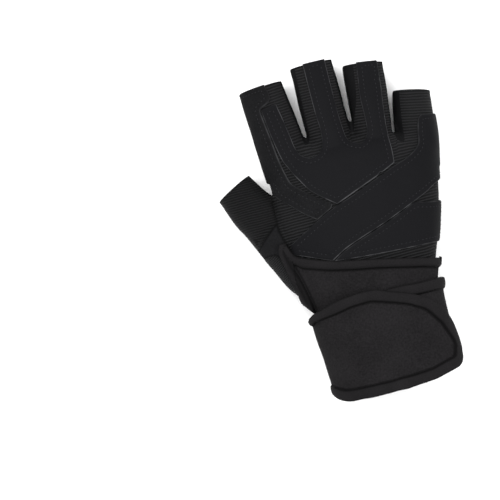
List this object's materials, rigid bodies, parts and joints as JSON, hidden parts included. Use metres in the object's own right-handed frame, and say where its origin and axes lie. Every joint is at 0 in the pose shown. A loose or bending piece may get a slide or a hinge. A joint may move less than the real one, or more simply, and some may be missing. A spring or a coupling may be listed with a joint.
{
  "type": "fingerless weightlifting glove with wrist wrap",
  "caption": "Right-hand half-finger training glove: ribbed back, stitched straps, suede palm with grip pads, and a bound wrap strap wound round the wrist.",
  "frame": {"origin": "middle of the footprint, on the surface the glove lies on, palm down", "axes": "+Y from the wrist to the fingers, +X to the little-finger side, +Z out of the back of the hand"},
  "size_m": [0.1314, 0.1904, 0.0489],
  "materials": {
    "suede": "matt brushed microfibre suede, warm black",
    "ribbed": "ribbed stretch knit, black",
    "side": "smooth stretch cloth, near black",
    "strap": "smooth synthetic leather, satin charcoal black",
    "cuff": "brushed elastic webbing, soft black",
    "tape": "folded edge tape, black",
    "grip": "printed silicone, glossy black"
  },
  "bodies": {
    "root": {"palm_panel": "suede", "back_panel": "ribbed", "thumb_panel": "ribbed", "thumb_gusset": "suede", "heel_side_strip": "ribbed", "side_cloth_index_middle": "side", "side_cloth_middle_ring": "side", "side_cloth_ring_little": "side", "knuckle_strap": "strap", "diagonal_strap": "strap", "side_strap": "strap", "index_side_panel": "suede", "cuff_band": "cuff", "cuff_top_tape": "tape", "cuff_side_tape": "tape", "wrist_wrap": "cuff", "wrap_end_tape": "tape", "wrap_under_tape": "tape", "wrap_palm_top_tape": "tape", "wrap_palm_low_tape": "tape", "grip_bar_upper": "grip", "grip_bar_middle": "grip", "grip_bar_lower": "grip", "heel_pad_inner": "grip", "heel_pad_middle": "grip", "heel_pad_outer": "grip", "dot_index_tip": "grip", "dot_index_root": "grip", "dot_middle_tip": "grip", "dot_middle_root": "grip", "dot_ring_tip": "grip", "dot_ring_root": "grip", "dot_little": "grip", "dot_thumb_tip": "grip", "dot_thumb_root": "grip", "pull_tab_middle": "suede", "pull_tab_ring": "suede"}
  },
  "joints": []
}
